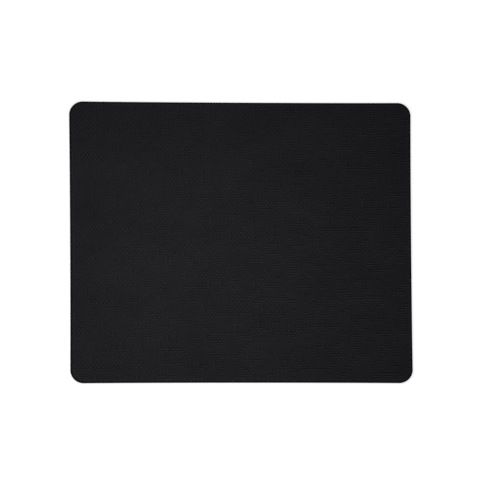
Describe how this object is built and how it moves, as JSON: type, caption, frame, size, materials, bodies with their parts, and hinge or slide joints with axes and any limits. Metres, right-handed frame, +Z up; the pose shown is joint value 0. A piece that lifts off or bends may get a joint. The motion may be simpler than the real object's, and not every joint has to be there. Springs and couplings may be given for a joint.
{
  "type": "mouse pad",
  "caption": "Flat rectangular mouse pad with rounded corners: a woven cloth face bonded to a foamed rubber base with a wave-embossed anti-slip underside.",
  "frame": {"origin": "centre of the underside, on the desk's surface", "axes": "+X along the long side to the user's right, +Y away from the user, +Z up out of the cloth"},
  "size_m": [0.22, 0.18, 0.003],
  "materials": {
    "cloth": "matt black woven polyester with fine crosswise ribs",
    "film": "dull translucent hot-melt glue, grey-brown at the cut edge",
    "rubber": "matt black foamed rubber, moulded skin below and open cells on the cut wall"
  },
  "bodies": {
    "root": {"woven_cloth": "cloth", "adhesive_film": "film", "rubber_base": "rubber"}
  },
  "joints": []
}
